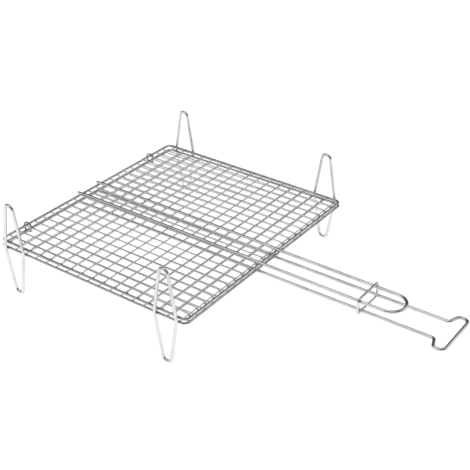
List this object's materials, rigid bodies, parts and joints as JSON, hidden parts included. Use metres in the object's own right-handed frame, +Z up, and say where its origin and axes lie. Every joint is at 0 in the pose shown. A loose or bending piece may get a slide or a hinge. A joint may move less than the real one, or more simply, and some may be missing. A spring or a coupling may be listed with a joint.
{
  "type": "hinged double grill basket",
  "caption": "Hinged double wire grill basket with a rimmed mesh lid and base, diamond feet, two handles and a sliding lock ring.",
  "frame": {"origin": "on the surface that the feet stand on, under the middle of the whole object", "axes": "+X along the handles, away from the hinge; +Y along the hinge edge; +Z up, from the base to the lid"},
  "size_m": [0.5647, 0.351, 0.132],
  "materials": {
    "rim_wire": "bright plated steel wire, 3 mm",
    "mesh_wire": "bright plated steel wire, 1.8 mm",
    "handle_wire": "bright plated steel wire, 4 mm",
    "foot_wire": "bright plated steel wire, 4 mm",
    "link_wire": "plated steel wire, 2 mm",
    "lock_wire": "bright plated steel wire, 3 mm"
  },
  "bodies": {
    "base": {"base_cross_wire_01": "mesh_wire", "base_cross_wire_02": "mesh_wire", "base_cross_wire_03": "mesh_wire", "base_cross_wire_04": "mesh_wire", "base_cross_wire_05": "mesh_wire", "base_cross_wire_06": "mesh_wire", "base_cross_wire_07": "mesh_wire", "base_cross_wire_08": "mesh_wire", "base_cross_wire_09": "mesh_wire", "base_cross_wire_10": "mesh_wire", "base_cross_wire_11": "mesh_wire", "base_cross_wire_12": "mesh_wire", "base_cross_wire_13": "mesh_wire", "base_cross_wire_14": "mesh_wire", "base_cross_wire_15": "mesh_wire", "base_cross_wire_16": "mesh_wire", "base_handle": "handle_wire", "base_long_wires": "mesh_wire", "base_rim": "rim_wire", "foot_front_far": "foot_wire", "foot_front_near": "foot_wire", "foot_rear_far": "foot_wire", "foot_rear_near": "foot_wire"},
    "links": {"hinge_link_far": "link_wire", "hinge_link_near": "link_wire"},
    "lid": {"lid_cross_wire_01": "mesh_wire", "lid_cross_wire_02": "mesh_wire", "lid_cross_wire_03": "mesh_wire", "lid_cross_wire_04": "mesh_wire", "lid_cross_wire_05": "mesh_wire", "lid_cross_wire_06": "mesh_wire", "lid_cross_wire_07": "mesh_wire", "lid_cross_wire_08": "mesh_wire", "lid_cross_wire_09": "mesh_wire", "lid_cross_wire_10": "mesh_wire", "lid_cross_wire_11": "mesh_wire", "lid_cross_wire_12": "mesh_wire", "lid_cross_wire_13": "mesh_wire", "lid_cross_wire_14": "mesh_wire", "lid_cross_wire_15": "mesh_wire", "lid_cross_wire_16": "mesh_wire", "lid_handle": "handle_wire", "lid_long_wires": "mesh_wire", "lid_rim": "rim_wire"},
    "lock": {"lock_ring": "lock_wire"}
  },
  "joints": [
    {"name": "link_swing", "type": "hinge", "parent": "base", "child": "links", "pos_m": [-0.27465, 0, 0.063], "axis": [0, -1, 0], "range_deg": [0, 85]},
    {"name": "lid_hinge", "type": "hinge", "parent": "links", "child": "lid", "pos_m": [-0.27465, 0, 0.0706], "axis": [0, -1, 0], "range_deg": [0, 85]},
    {"name": "lock_slide", "type": "slide", "parent": "base", "child": "lock", "axis": [1, 0, 0], "range_m": [-0.04, 0.088]}
  ],
  "couplings": [
    {"joint": "link_swing", "follows": "lid_hinge", "ratio": 1}
  ]
}
